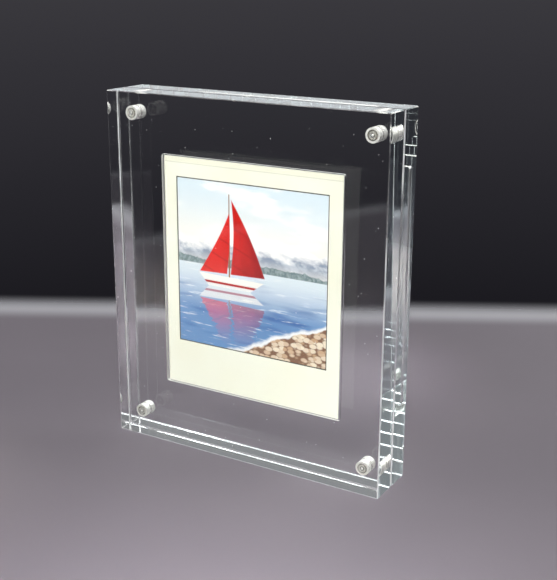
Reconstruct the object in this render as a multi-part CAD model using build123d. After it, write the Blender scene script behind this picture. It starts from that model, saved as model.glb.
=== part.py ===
"""Free-standing acrylic block frame for a square instant print.

Two clear blocks stand face to face, held together by a magnet in each corner of each block.
The rear block has a shallow milled pocket, and the print lies in it behind the front block.

Millimetres. The origin is at the centre of the base, +X is to the viewer's right, +Y points away
from the viewer and +Z up. The magnets of the two blocks meet on the plane y = 0.
"""

import os

from build123d import *

# Blocks, both sawn from one sheet
block_width = 111.0
block_height = 131.0
block_thickness = 10.0
edge_bevel = 0.3

# Magnets
magnet_diameter = 5.0
magnet_length = 4.0
magnet_edge_round = 0.4
magnet_edge_distance = 8.0  # from a block's side, top or base to a magnet's axis
magnet_proud = 0.3  # how far a magnet stands out of its block, so the blocks never rub
hole_clearance = 0.05  # room round a magnet in its hole

# Adhesive under each magnet, and the dimple of the drill's point that it fills
glue_thickness = 0.2
drill_point_diameter = 1.6
drill_point_depth = 0.5

# Instant print, a laminate of three sheets
print_width = 72.0
print_height = 86.0
backing_thickness = 0.3
picture_sheet_thickness = 0.12
border_thickness = 0.18
picture_size = 62.0  # the square window in the border
border_above_picture = 7.0

# Pocket in the rear block
pocket_side_clearance = 1.0
pocket_end_clearance = 0.5
pocket_headroom = 0.4  # from the print's face to the rear block's mating face
pocket_corner_radius = 1.0

# Places that follow from the sizes
middle_z = block_height / 2
print_thickness = backing_thickness + picture_sheet_thickness + border_thickness
pocket_depth = print_thickness + pocket_headroom
pocket_floor_y = magnet_proud + pocket_depth
magnet_x = block_width / 2 - magnet_edge_distance
magnet_z = block_height / 2 - magnet_edge_distance

# Each corner as (side along X, side along Z)
corners = {
    "top_left": (-1, 1),
    "top_right": (1, 1),
    "bottom_left": (-1, -1),
    "bottom_right": (1, -1),
}

# Each block as the turn about X that points a hole's axis from y = 0 into the block
turn_into_block = {"front": 90, "rear": -90}

on_end = (Align.CENTER, Align.CENTER, Align.MIN)


def hole_places(side):
    """Gives each corner's hole place, with its own Z running from y = 0 into the block."""
    turn = Rot(turn_into_block[side], 0, 0)
    return {
        corner: Pos(x * magnet_x, 0, middle_z + z * magnet_z) * turn
        for corner, (x, z) in corners.items()
    }


def magnet():
    """A plated disc magnet with rounded rims, lying along Z from its mating face."""
    disc = Cylinder(magnet_diameter / 2, magnet_length, align=on_end)
    return fillet(disc.edges().filter_by(GeomType.CIRCLE), magnet_edge_round)


def drill_point():
    """The cone that the drill's point cuts below a hole's flat bottom."""
    bottom = Pos(0, 0, magnet_length + glue_thickness)
    return bottom * Cone(drill_point_diameter / 2, 0, drill_point_depth, align=on_end)


def glue():
    """The adhesive between a magnet's end and its hole's bottom."""
    film = Cylinder(magnet_diameter / 2, glue_thickness, align=on_end)
    return Pos(0, 0, magnet_length) * film + drill_point()


def magnet_hole():
    """The space cut for a magnet and its adhesive."""
    radius = magnet_diameter / 2 + hole_clearance
    return Cylinder(radius, magnet_length + glue_thickness, align=on_end) + drill_point()


def drilled_block(side, centre_y):
    """A bevelled block with a magnet's hole in each corner of its mating face."""
    block = Pos(0, centre_y, middle_z) * Box(block_width, block_thickness, block_height)
    block = chamfer(block.edges(), edge_bevel)
    return block - [place * magnet_hole() for place in hole_places(side).values()]


def pocket():
    """The space milled for the print, from y = 0 down to the pocket's floor."""
    width = print_width + 2 * pocket_side_clearance
    height = print_height + 2 * pocket_end_clearance
    space = Pos(0, pocket_floor_y / 2, middle_z) * Box(width, pocket_floor_y, height)
    return fillet(space.edges().filter_by(Axis.Y), pocket_corner_radius)


def print_sheet(thickness, rear_y):
    """One full-size layer of the print, with its rear face at rear_y."""
    sheet = Box(print_width, thickness, print_height)
    return Pos(0, rear_y - thickness / 2, middle_z) * sheet


def picture_window():
    """The square space that the border leaves open in front of the picture."""
    window_z = middle_z + print_height / 2 - border_above_picture - picture_size / 2
    return Pos(0, pocket_floor_y, window_z) * Box(picture_size, 2 * pocket_floor_y, picture_size)


def print_layers():
    """The print's three sheets, stacked forward from the pocket's floor."""
    picture_rear_y = pocket_floor_y - backing_thickness
    border_rear_y = picture_rear_y - picture_sheet_thickness
    return {
        "print_backing": print_sheet(backing_thickness, pocket_floor_y),
        "print_picture": print_sheet(picture_sheet_thickness, picture_rear_y),
        "print_border": print_sheet(border_thickness, border_rear_y) - picture_window(),
    }


def assembly():
    """Every piece of the frame in its place, by name."""
    block_centre_y = magnet_proud + block_thickness / 2
    pieces = {
        "front_block": drilled_block("front", -block_centre_y),
        "rear_block": drilled_block("rear", block_centre_y) - pocket(),
    }
    for side in turn_into_block:
        for corner, place in hole_places(side).items():
            pieces[f"{side}_magnet_{corner}"] = place * magnet()
            pieces[f"{side}_glue_{corner}"] = place * glue()
    pieces.update(print_layers())
    return pieces


os.makedirs("parts", exist_ok=True)
for name, piece in assembly().items():
    export_step(piece, f"parts/{name}.step")
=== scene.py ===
"""Dresses a free-standing acrylic block frame that holds a square instant print.

Two clear blocks stand face to face, with a magnet in each corner of each block and a print lying in
a shallow pocket of the rear block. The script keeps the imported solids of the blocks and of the
print's picture and border, and gives every surface its finish. The magnets, the dabs of adhesive
behind them and the print's rear sheet are modelled again with finer rims, in the places of the
packed ones. Everything is in metres, with the origin at the centre of the base, +X to the viewer's
right, +Y away from the viewer and +Z up.
"""

from __future__ import annotations

import logging
import math
from dataclasses import dataclass
from enum import Enum
from functools import reduce
from typing import Union

import bmesh
import bpy
from mathutils import Matrix, Vector

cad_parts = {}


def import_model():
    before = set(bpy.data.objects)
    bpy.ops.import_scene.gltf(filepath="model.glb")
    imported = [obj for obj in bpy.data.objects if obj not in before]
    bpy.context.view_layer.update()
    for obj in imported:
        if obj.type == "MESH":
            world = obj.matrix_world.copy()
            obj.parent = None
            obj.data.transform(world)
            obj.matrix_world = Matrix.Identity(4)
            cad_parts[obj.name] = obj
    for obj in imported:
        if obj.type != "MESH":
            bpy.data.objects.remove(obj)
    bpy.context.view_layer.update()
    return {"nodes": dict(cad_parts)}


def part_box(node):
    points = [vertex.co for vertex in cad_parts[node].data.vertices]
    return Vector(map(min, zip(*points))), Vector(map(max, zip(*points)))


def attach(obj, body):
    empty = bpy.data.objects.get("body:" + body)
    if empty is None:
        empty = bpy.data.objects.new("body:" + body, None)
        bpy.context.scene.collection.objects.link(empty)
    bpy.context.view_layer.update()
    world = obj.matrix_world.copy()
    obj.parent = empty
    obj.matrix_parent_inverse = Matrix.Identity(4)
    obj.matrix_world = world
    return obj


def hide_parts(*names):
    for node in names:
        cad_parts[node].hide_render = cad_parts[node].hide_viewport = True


LOG = logging.getLogger("acrylic_block_frame")
MM = 0.001
# Points of a turned shape that lie closer than this are one point, in metres.
MERGE_REACH = 1e-7
# A face whose normal has more than this share along Y is a flat end.
FLAT_FACING = 0.999

Colour = tuple[float, float, float]
Place = tuple[float, float]
Point = tuple[float, float, float]
Span = tuple[float, float]
Operand = Union["Signal", float]
Paint = Union["Signal", Colour]


def tone(red: int, green: int, blue: int) -> Colour:
    """Turns a display colour into the linear colour that a shader takes.

    Args:
        red: Display value from 0 to 255, and the same for green and blue.

    Returns:
        The linear red, green and blue.
    """

    def linear(value: int) -> float:
        """Turns one display value into a linear one."""
        share = value / 255
        return share / 12.92 if share <= 0.04045 else ((share + 0.055) / 1.055) ** 2.4

    return linear(red), linear(green), linear(blue)


class Side(Enum):
    """The two halves of the frame, named as their bodies are, with the way that their holes point."""

    FRONT = "front"
    REAR = "rear"

    @property
    def into_block(self) -> float:
        """The sign of Y on the way from the joint into this block."""
        return -1.0 if self is Side.FRONT else 1.0


class Corner(Enum):
    """The corners of a block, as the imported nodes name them."""

    TOP_LEFT = "top_left"
    TOP_RIGHT = "top_right"
    BOTTOM_LEFT = "bottom_left"
    BOTTOM_RIGHT = "bottom_right"


@dataclass(frozen=True)
class Grain:
    """A soft noise: its humps to one unit, and how many finer layers it has of what strength."""

    scale: float
    detail: float = 2.0
    roughness: float = 0.5


class Signal:
    """A number, vector or colour on its way through a material's nodes."""

    def __init__(self, graph: NodeGraph, socket: bpy.types.NodeSocket) -> None:
        """Keeps the socket that the signal comes out of."""
        self.graph = graph
        self.socket = socket

    def __add__(self, other: Operand) -> Signal:
        """Adds a number."""
        return self.graph.math("ADD", self, other)

    def __sub__(self, other: Operand) -> Signal:
        """Takes a number away."""
        return self.graph.math("SUBTRACT", self, other)

    def __rsub__(self, other: float) -> Signal:
        """Takes this signal away from a plain number."""
        return self.graph.math("SUBTRACT", other, self)

    def __mul__(self, other: Operand) -> Signal:
        """Multiplies by a number."""
        return self.graph.math("MULTIPLY", self, other)

    def __rmul__(self, other: float) -> Signal:
        """Multiplies a plain number."""
        return self.graph.math("MULTIPLY", other, self)

    def __truediv__(self, other: Operand) -> Signal:
        """Divides by a number."""
        return self.graph.math("DIVIDE", self, other)

    def __abs__(self) -> Signal:
        """Drops the sign."""
        return self.graph.math("ABSOLUTE", self)

    def rise(self, low: float, high: float) -> Signal:
        """Goes smoothly from 0 at low to 1 at high, or from 1 to 0 where high is the smaller."""
        return self.graph.step(self, low, high)

    def either(self, other: Operand) -> Signal:
        """The larger of two numbers."""
        return self.graph.math("MAXIMUM", self, other)

    def both(self, other: Operand) -> Signal:
        """The smaller of two numbers."""
        return self.graph.math("MINIMUM", self, other)

    def wave(self) -> Signal:
        """The sine of the signal."""
        return self.graph.math("SINE", self)


class NodeGraph:
    """Adds and links the nodes of one material."""

    def __init__(self, name: str) -> None:
        """Starts an empty material.

        Args:
            name: The material's name.
        """
        self.material = bpy.data.materials.new(name)
        self.material.use_nodes = True
        self.tree = self.material.node_tree
        self.tree.nodes.clear()

    def feed(self, socket: bpy.types.NodeSocket, value: object) -> None:
        """Links a signal to a socket, or sets the socket to a plain value.

        Args:
            socket: The input to fill.
            value: A signal, a number, a vector or a colour.
        """
        if isinstance(value, Signal):
            self.tree.links.new(value.socket, socket)
        elif socket.type == "RGBA":
            socket.default_value = (*value, 1.0)
        else:
            socket.default_value = value

    def node(self, kind: str, inputs: dict[Union[str, int], object], **settings: object) -> bpy.types.Node:
        """Adds a node.

        Args:
            kind: The node's type name.
            inputs: What goes into its sockets, by name or number.
            settings: The node's own properties.

        Returns:
            The new node.
        """
        made = self.tree.nodes.new(kind)
        for key, value in settings.items():
            setattr(made, key, value)
        for key, value in inputs.items():
            self.feed(made.inputs[key], value)
        return made

    def math(self, operation: str, first: Operand, second: Operand = 0.0) -> Signal:
        """Adds a Math node and returns what comes out of it."""
        made = self.node("ShaderNodeMath", {0: first, 1: second}, operation=operation)
        return Signal(self, made.outputs[0])

    def step(self, value: Signal, low: float, high: float) -> Signal:
        """Adds a smooth step.

        Args:
            value: What the step follows.
            low: The value where the step is still 0.
            high: The value where it has reached 1.

        Returns:
            The step, from 0 to 1.
        """
        sockets = {"Value": value, "From Min": low, "From Max": high}
        made = self.node("ShaderNodeMapRange", sockets, interpolation_type="SMOOTHSTEP")
        return Signal(self, made.outputs[0])

    def place(self) -> tuple[Signal, Signal, Signal]:
        """Finds the surface point in the frame.

        Returns:
            Its X, Y and Z in millimetres.
        """
        coordinates = self.node("ShaderNodeTexCoord", {})
        point = Signal(self, coordinates.outputs["Object"])
        scaled = self.node("ShaderNodeVectorMath", {0: point, "Scale": 1 / MM}, operation="SCALE")
        parts = self.node("ShaderNodeSeparateXYZ", {0: Signal(self, scaled.outputs[0])})
        return tuple(Signal(self, socket) for socket in parts.outputs)

    def vector(self, x: Operand, y: Operand = 0.0, z: Operand = 0.0) -> Signal:
        """Joins three numbers into a vector."""
        made = self.node("ShaderNodeCombineXYZ", {0: x, 1: y, 2: z})
        return Signal(self, made.outputs[0])

    def noise(self, point: Signal, grain: Grain) -> Signal:
        """Gives soft noise between 0 and 1.

        Args:
            point: Where it is read.
            grain: How fine it is.

        Returns:
            The noise.
        """
        sockets = {
            "Vector": point,
            "Scale": grain.scale,
            "Detail": grain.detail,
            "Roughness": grain.roughness,
        }
        return Signal(self, self.node("ShaderNodeTexNoise", sockets).outputs[0])

    def cells(self, point: Signal, scale: float) -> tuple[Signal, Signal]:
        """Scatters points and splits the space into a cell round each.

        Args:
            point: Where the cells are read.
            scale: How many cells there are to one unit.

        Returns:
            The distance to the nearest scattered point, and a shade that is random for each cell.
        """
        made = self.node("ShaderNodeTexVoronoi", {"Vector": point, "Scale": scale})
        shade = self.node("ShaderNodeSeparateColor", {0: Signal(self, made.outputs["Color"])})
        return Signal(self, made.outputs["Distance"]), Signal(self, shade.outputs[0])

    def patch(self, u: Signal, v: Signal, outline: tuple[Place, ...], soft: float) -> Signal:
        """Fills a flat outline.

        Args:
            u: The place on the picture, to the right, and v up.
            outline: The corners, anticlockwise round a shape without hollows.
            soft: How wide the blurred edge is on each side.

        Returns:
            1 inside and 0 outside.
        """
        sides = []
        for (left, low), (right, high) in zip(outline, outline[1:] + outline[:1]):
            run = math.hypot(right - left, high - low)
            sides.append((v - low) * ((right - left) / run) - (u - left) * ((high - low) / run))
        return reduce(Signal.both, sides).rise(-soft, soft)

    def mix(self, share: Operand, under: Paint, over: Paint) -> Signal:
        """Covers one colour with another.

        Args:
            share: How much of the upper colour there is, from 0 to 1.
            under: The lower colour.
            over: The upper colour.

        Returns:
            The colour that shows.
        """
        sockets = {0: share, 6: under, 7: over}
        made = self.node("ShaderNodeMix", sockets, data_type="RGBA", clamp_factor=True)
        return Signal(self, made.outputs[2])

    def bump(self, height: Signal, depth: float) -> Signal:
        """Turns a height from 0 to 1 into a bent normal.

        Args:
            height: The height.
            depth: What a height of 1 stands for, in metres.

        Returns:
            The normal.
        """
        made = self.node("ShaderNodeBump", {"Height": height, "Strength": 1.0, "Distance": depth})
        return Signal(self, made.outputs[0])

    def shader(self, inputs: dict[Union[str, int], object]) -> Signal:
        """Adds the Principled shader with these inputs."""
        return Signal(self, self.node("ShaderNodeBsdfPrincipled", inputs).outputs[0])

    def absorption(self, colour: Colour, density: float) -> Signal:
        """Adds the shader of a clear inside that tints the light on its way through."""
        made = self.node("ShaderNodeVolumeAbsorption", {"Color": colour, "Density": density})
        return Signal(self, made.outputs[0])

    def lit_through(self, glass: Signal, shadow: Colour) -> Signal:
        """Lets lamps reach what stands behind a clear shader.

        Args:
            glass: The clear shader.
            shadow: The colour of the light that is left behind it.

        Returns:
            The shader that is clear to lamps.
        """
        path = self.node("ShaderNodeLightPath", {})
        clear = Signal(self, self.node("ShaderNodeBsdfTransparent", {"Color": shadow}).outputs[0])
        sockets = {0: Signal(self, path.outputs["Is Shadow Ray"]), 1: glass, 2: clear}
        return Signal(self, self.node("ShaderNodeMixShader", sockets).outputs[0])

    def finish(self, surface: Signal, volume: Union[Signal, None] = None) -> bpy.types.Material:
        """Links the material's output.

        Args:
            surface: The surface shader.
            volume: The shader of what is inside, if it tints light.

        Returns:
            The finished material.
        """
        sockets = {"Surface": surface}
        if volume is not None:
            sockets["Volume"] = volume
        self.node("ShaderNodeOutputMaterial", sockets)
        return self.material


@dataclass(frozen=True)
class HolePlaces:
    """Where the corner holes are, in millimetres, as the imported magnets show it."""

    spread_x: float
    spread_z: float
    middle_z: float
    radius: float
    length: float

    @classmethod
    def from_frame(cls) -> HolePlaces:
        """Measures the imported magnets.

        Returns:
            The places, with the hole as wide as the magnet.
        """
        low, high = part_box(f"{Side.FRONT.value}_magnet_{Corner.BOTTOM_LEFT.value}")
        far_low, far_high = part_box(f"{Side.FRONT.value}_magnet_{Corner.TOP_RIGHT.value}")
        first = (low + high) / 2
        last = (far_low + far_high) / 2
        return cls(
            spread_x=(last.x - first.x) / 2 / MM,
            spread_z=(last.z - first.z) / 2 / MM,
            middle_z=(last.z + first.z) / 2 / MM,
            radius=(high.x - low.x) / 2 / MM,
            length=(high.y - low.y) / MM,
        )

    def distance(self, graph: NodeGraph, x: Signal, z: Signal) -> Signal:
        """Finds how far a surface point is from the axis of its hole.

        Args:
            graph: The material.
            x: The point's X in millimetres, and z its Z.

        Returns:
            The distance in millimetres.
        """
        across = abs(x) - self.spread_x
        along = abs(z - self.middle_z) - self.spread_z
        return graph.math("SQRT", across * across + along * along)


@dataclass(frozen=True)
class PocketPlace:
    """The milled pocket in the rear block, in millimetres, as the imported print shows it."""

    half_width: float
    low_z: float
    high_z: float
    mouth_y: float
    floor_y: float
    room: float = 1.2

    @property
    def half_height(self) -> float:
        """Half the height of the print."""
        return (self.high_z - self.low_z) / 2

    @property
    def middle_z(self) -> float:
        """The height of the print's middle."""
        return (self.high_z + self.low_z) / 2

    @classmethod
    def from_frame(cls) -> PocketPlace:
        """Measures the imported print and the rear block's mating face.

        Returns:
            The place, with the pocket's floor where the print's back is.
        """
        low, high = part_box("print_backing")
        block_low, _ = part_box(f"{Side.REAR.value}_block")
        return cls(
            half_width=high.x / MM,
            low_z=low.z / MM,
            high_z=high.z / MM,
            mouth_y=block_low.y / MM,
            floor_y=high.y / MM,
        )


@dataclass(frozen=True)
class BlockShape:
    """The outside of the two blocks, in millimetres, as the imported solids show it."""

    half_width: float
    half_thickness: float
    half_height: float
    middle_y: float
    middle_z: float
    bevel: float = 0.3

    @classmethod
    def from_frame(cls) -> BlockShape:
        """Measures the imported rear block, which the front one mirrors.

        Returns:
            The shape of one block.
        """
        low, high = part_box(f"{Side.REAR.value}_block")
        half = (high - low) / 2 / MM
        middle = (high + low) / 2 / MM
        return cls(half.x, half.y, half.z, middle.y, middle.z)


@dataclass(frozen=True)
class SandedEdges:
    """The sanded bevels along the blocks' edges, with the stretches that polishing left clear.

    Lengths are in millimetres.
    """

    blocks: BlockShape
    core_slack: float = 0.02
    rim_slack: float = 0.06
    polish: Grain = Grain(0.09, 4.0)
    polish_span: Span = (0.30, 0.62)
    least_sanded: float = 0.45
    side_fade: float = 1.0
    left_share: float = 0.5
    left_joint_share: float = 0.8
    joint_span: Span = (1.2, 1.0)
    joint_low: float = 36.0
    joint_high: float = 104.0
    joint_fade: float = 3.0
    joint_clear: float = 0.7
    upper_fade: float = 24.0
    upper_clear: float = 0.85
    rear_span: Span = (1.2, 1.4)
    rear_left_clear: float = 0.6

    def masks(self, graph: NodeGraph, x: Signal, y: Signal, z: Signal) -> tuple[Signal, Signal]:
        """Finds the bevels.

        Args:
            graph: The material.
            x: The surface point in millimetres, and the same for y and z.

        Returns:
            How sanded the surface is on any bevel, and on an upright one.
        """
        reach_x = self.blocks.half_width - abs(x)
        reach_y = self.blocks.half_thickness - abs(abs(y) - self.blocks.middle_y)
        reach_z = self.blocks.half_height - abs(z - self.blocks.middle_z)
        nearest_two = reach_x + reach_y + reach_z - reach_x.either(reach_y).either(reach_z)
        bevel = (self.blocks.bevel + self.rim_slack, self.blocks.bevel + self.core_slack)
        polish = graph.noise(graph.vector(x, y, z), self.polish).rise(*self.polish_span)
        sanded = polish * (1.0 - self.least_sanded) + self.least_sanded
        upright = (reach_x + reach_y).rise(*bevel) * sanded * self.upright_wear(x, y, z)
        return nearest_two.rise(*bevel) * sanded, upright

    def upright_wear(self, x: Signal, y: Signal, z: Signal) -> Signal:
        """Finds how much of the sanding shows on the upright bevels.

        It is weaker on the left. It is polished away in the middle of the joint on the right, on the
        outer edges near the top, and on the rear block's left edges.

        Args:
            x: The surface point in millimetres, and the same for y and z.

        Returns:
            The share that shows.
        """
        right = x.rise(-self.side_fade, self.side_fade)
        joint = abs(y).rise(*self.joint_span)
        worn = (right * (1.0 - self.left_share) + self.left_share).either(joint * self.left_joint_share)
        middle = z.rise(self.joint_low - self.joint_fade, self.joint_low + self.joint_fade)
        middle = middle * z.rise(self.joint_high + self.joint_fade, self.joint_high - self.joint_fade)
        clear = middle * joint * right * self.joint_clear
        upper = z.rise(self.joint_high - self.upper_fade, self.joint_high) * (1.0 - joint)
        rear_left = x.rise(self.side_fade, -self.side_fade) * y.rise(*self.rear_span)
        clear = clear.either(upper * self.upper_clear).either(rear_left * self.rear_left_clear)
        return worn * (1.0 - clear)


@dataclass(frozen=True)
class WettedHoles:
    """The film of adhesive that shows the plating through the corner holes' walls.

    It covers the wall, the rim of the hole's bottom and the tip of the drill's dimple. Depths are in
    millimetres from the joint, and the film's inner and outer radius are shares of the hole's.
    """

    holes: HolePlaces
    inner: float = 0.75
    inner_fade: float = 0.05
    outer: float = 1.07
    outer_fade: float = 0.02
    start: float = 0.40
    end: float = 4.32
    end_fade: float = 0.05
    dot_radius: float = 0.38
    dot_rim: float = 1.3
    dot_start: Span = (0.0, 0.1)
    dot_end: Span = (0.7, 0.6)
    tool_pitch: float = 1.35
    wobble: Grain = Grain(0.6)
    wobble_turn: float = 2.0
    groove_span: Span = (-0.62, -0.95)
    groove_margin: Span = (0.25, 0.35)

    def masks(self, graph: NodeGraph, x: Signal, y: Signal, z: Signal) -> tuple[Signal, Signal]:
        """Finds the film.

        Args:
            graph: The material.
            x: The surface point in millimetres, and the same for y and z.

        Returns:
            How much film there is, and how much of a ring that the drill left in it, where the acrylic
            paints shade.
        """
        radius = self.holes.distance(graph, x, z)
        depth = abs(y)
        inner = self.holes.radius * self.inner
        outer = self.holes.radius * self.outer
        ring = radius.rise(inner - self.holes.radius * self.inner_fade, inner)
        ring = ring * radius.rise(outer, outer - self.holes.radius * self.outer_fade)
        ring = ring * depth.rise(self.start - self.end_fade, self.start)
        ring = ring * depth.rise(self.end + self.end_fade, self.end)
        dot = radius.rise(self.dot_radius * self.dot_rim, self.dot_radius)
        for low, high in (self.dot_start, self.dot_end):
            dot = dot * depth.rise(self.end + low, self.end + high)
        wobble = graph.noise(graph.vector(x, y, z), self.wobble) * self.wobble_turn
        grooves = (depth * (2 * math.pi / self.tool_pitch) + wobble).wave().rise(*self.groove_span)
        low, high = self.groove_margin
        return ring.either(dot), grooves * depth.rise(self.end - low, self.end - high)


@dataclass(frozen=True)
class MilledPocket:
    """The milled pocket, most matt on its end walls and least on its right one.

    Lengths are in millimetres, and the spans are measured outwards from the print's edges.
    """

    place: PocketPlace
    slack: float = 0.05
    end_span: Span = (0.2, 0.3)
    side_span: Span = (0.1, 0.3)
    left_wall: float = 0.85
    left_margin: float = 0.45
    right_wall: float = 0.30

    def masks(self, x: Signal, y: Signal, z: Signal) -> tuple[Signal, Signal]:
        """Finds the pocket.

        Args:
            x: The surface point in millimetres, and the same for y and z.

        Returns:
            1 in the pocket, and how matt it is there.
        """
        half_width = self.place.half_width
        half_height = self.place.half_height
        reach_x = half_width + self.place.room
        reach_z = half_height + self.place.room
        height = abs(z - self.place.middle_z)
        inside = abs(x).rise(reach_x + self.slack, reach_x) * height.rise(reach_z + self.slack, reach_z)
        inside = inside * y.rise(self.place.mouth_y + self.slack / 2, self.place.mouth_y + self.slack)
        cut = inside * y.rise(self.place.floor_y + 2 * self.slack, self.place.floor_y + self.slack)
        wall = inside * y.rise(self.place.floor_y - self.slack / 2, self.place.floor_y - self.slack)
        low, high = self.end_span
        ends = wall * height.rise(half_height + low, half_height + high)
        low, high = self.side_span
        left = x.rise(-half_width - low, -half_width - high)
        right = x.rise(half_width + low, half_width + high)
        sides = (wall * left * self.left_wall).either(cut * left * self.left_margin)
        return cut, ends.either(sides).either(wall * right * self.right_wall)


@dataclass(frozen=True)
class ClearAcrylic:
    """Cast acrylic: polished faces, faint dust, sanded edges, wetted holes and a milled pocket.

    Lengths are in millimetres.
    """

    edges: SandedEdges
    holes: WettedHoles
    pocket: MilledPocket
    colour: Colour = (1.0, 1.0, 1.0)
    index: float = 1.465
    edge_tint: Colour = (0.82, 0.955, 0.965)
    tint_density: float = 5.0
    shadow: Colour = (0.95, 0.95, 0.94)
    frost_colour: Colour = (0.95, 0.95, 0.94)
    frost_roughness: float = 0.9
    bevel_frost: float = 0.08
    bevel_roughness: float = 0.24
    upright_frost: float = 0.85
    upright_metal: float = 0.08
    upright_roughness: float = 0.60
    film_colour: Colour = (0.95, 0.94, 0.89)
    film_metal: float = 0.88
    film_roughness: float = 0.55
    # The colour of the painted shade in the drill's grooves of the wetted film.
    painted_groove_shade: Colour = (0.16, 0.15, 0.13)
    pocket_roughness: float = 0.03
    milled_metal: float = 0.75
    milled_roughness: float = 0.65
    dust_frost: float = 0.4
    dust_cell: float = 4.6
    dust_radius: float = 0.18
    dust_core: float = 0.6

    def dust(self, graph: NodeGraph, x: Signal, y: Signal, z: Signal) -> Signal:
        """Finds sparse specks of dust on the faces.

        Args:
            graph: The material.
            x: The surface point in millimetres, and the same for y and z.

        Returns:
            1 on a speck and 0 elsewhere.
        """
        distance, _ = graph.cells(graph.vector(x, y, z), 1 / self.dust_cell)
        size = self.dust_radius / self.dust_cell
        return distance.rise(size, size * self.dust_core)

    def material(self) -> bpy.types.Material:
        """Builds the material.

        Returns:
            The finished material.
        """
        graph = NodeGraph("clear_acrylic_dressed")
        x, y, z = graph.place()
        edge, upright = self.edges.masks(graph, x, y, z)
        film, groove = self.holes.masks(graph, x, y, z)
        pocket, walls = self.pocket.masks(x, y, z)
        frost = (edge * self.bevel_frost).either(upright * self.upright_frost)
        frost = frost.either(self.dust(graph, x, y, z) * self.dust_frost)
        metal = (film * self.film_metal).either(walls * self.milled_metal)
        matt = (frost * self.frost_roughness).either(edge * self.bevel_roughness)
        matt = matt.either(upright * self.upright_roughness).either(film * self.film_roughness)
        matt = matt.either(pocket * self.pocket_roughness).either(walls * self.milled_roughness)
        clear = graph.mix(frost, self.colour, self.frost_colour)
        coated = graph.mix(film.either(walls), clear, self.film_colour)
        glass = graph.shader(
            {
                # The drill's grooves in the wetted film get painted shade.
                "Base Color": graph.mix(film * groove, coated, self.painted_groove_shade),
                "Metallic": metal.either(upright * self.upright_metal),
                "Roughness": matt,
                "IOR": self.index,
                "Transmission Weight": 1.0 - frost,
            }
        )
        tint = graph.absorption(self.edge_tint, self.tint_density)
        return graph.finish(graph.lit_through(glass, self.shadow), tint)


@dataclass(frozen=True)
class NickelPlate:
    """Bright nickel plating with a faint grain and darker smears."""

    colour: Colour = (0.88, 0.865, 0.82)
    smear_colour: Colour = (0.60, 0.58, 0.52)
    smear: Grain = Grain(0.9, 3.0)
    smear_span: Span = (0.45, 0.72)
    roughness: float = 0.20
    grain: Grain = Grain(9.0, 3.0, 0.6)
    grain_roughness: float = 0.12
    grain_depth: float = 0.000006

    def material(self) -> bpy.types.Material:
        """Builds the material.

        Returns:
            The finished material.
        """
        graph = NodeGraph("nickel_plate_dressed")
        point = graph.vector(*graph.place())
        smear = graph.noise(point, self.smear).rise(*self.smear_span)
        grain = graph.noise(point, self.grain)
        return graph.finish(
            graph.shader(
                {
                    "Base Color": graph.mix(smear, self.colour, self.smear_colour),
                    "Metallic": 1.0,
                    "Roughness": grain * self.grain_roughness + self.roughness,
                    "Normal": graph.bump(grain, self.grain_depth),
                }
            )
        )


@dataclass(frozen=True)
class ClearGlue:
    """Cured clear adhesive, with dark rings of painted shade at the steps of the hole's cut bottom that
    shows through it.

    Lengths are in millimetres, apart from the depth of the turning marks, which is in metres. Each ring
    has a radius and half a width.
    """

    holes: HolePlaces
    colour: Colour = (0.97, 0.96, 0.91)
    # The colour of the painted shade in the rings at the cutter's steps.
    painted_ring_shade: Colour = (0.34, 0.33, 0.27)
    shadow: Colour = (0.95, 0.95, 0.93)
    index: float = 1.49
    roughness: float = 0.16
    milk: float = 0.16
    rings: tuple[Place, ...] = ((0.62, 0.24), (1.58, 0.34))
    ring_core: float = 0.35
    ring_least: float = 0.2
    breaks: Grain = Grain(0.35, 4.0)
    break_span: Span = (0.36, 0.60)
    stir: Grain = Grain(0.9)
    stir_reach: float = 0.35
    turning_pitch: float = 0.31
    turning_depth: float = 0.00003
    turning_roughness: float = 0.12
    turning_clear: float = 0.5

    def cut_marks(self, graph: NodeGraph, x: Signal, y: Signal, z: Signal) -> tuple[Signal, Signal]:
        """Finds the rings of painted shade at the cutter's steps and the fine turning marks between them.

        Args:
            graph: The material.
            x: The surface point in millimetres, and the same for y and z.

        Returns:
            The rings of painted shade, and the height of the fine marks.
        """
        point = graph.vector(x, y, z)
        radius = self.holes.distance(graph, x, z) + (graph.noise(point, self.stir) - 0.5) * self.stir_reach
        rings = [
            abs(radius - middle).rise(half_width, half_width * self.ring_core)
            for middle, half_width in self.rings
        ]
        broken = graph.noise(point, self.breaks).rise(*self.break_span)
        marks = (radius * (2 * math.pi / self.turning_pitch)).wave() * 0.5 + 0.5
        dark = reduce(Signal.either, rings) * (broken * (1.0 - self.ring_least) + self.ring_least)
        return dark, marks

    def material(self) -> bpy.types.Material:
        """Builds the material.

        Returns:
            The finished material.
        """
        graph = NodeGraph("clear_glue_dressed")
        dark, marks = self.cut_marks(graph, *graph.place())
        glass = graph.shader(
            {
                # The rings at the cutter's steps are painted shade.
                "Base Color": graph.mix(dark, self.colour, self.painted_ring_shade),
                "Roughness": marks * self.turning_roughness + self.roughness,
                "IOR": self.index,
                "Transmission Weight": 1.0 - self.milk * (1.0 - marks * self.turning_clear),
                "Normal": graph.bump(marks, self.turning_depth),
            }
        )
        return graph.finish(graph.lit_through(glass, self.shadow))


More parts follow.
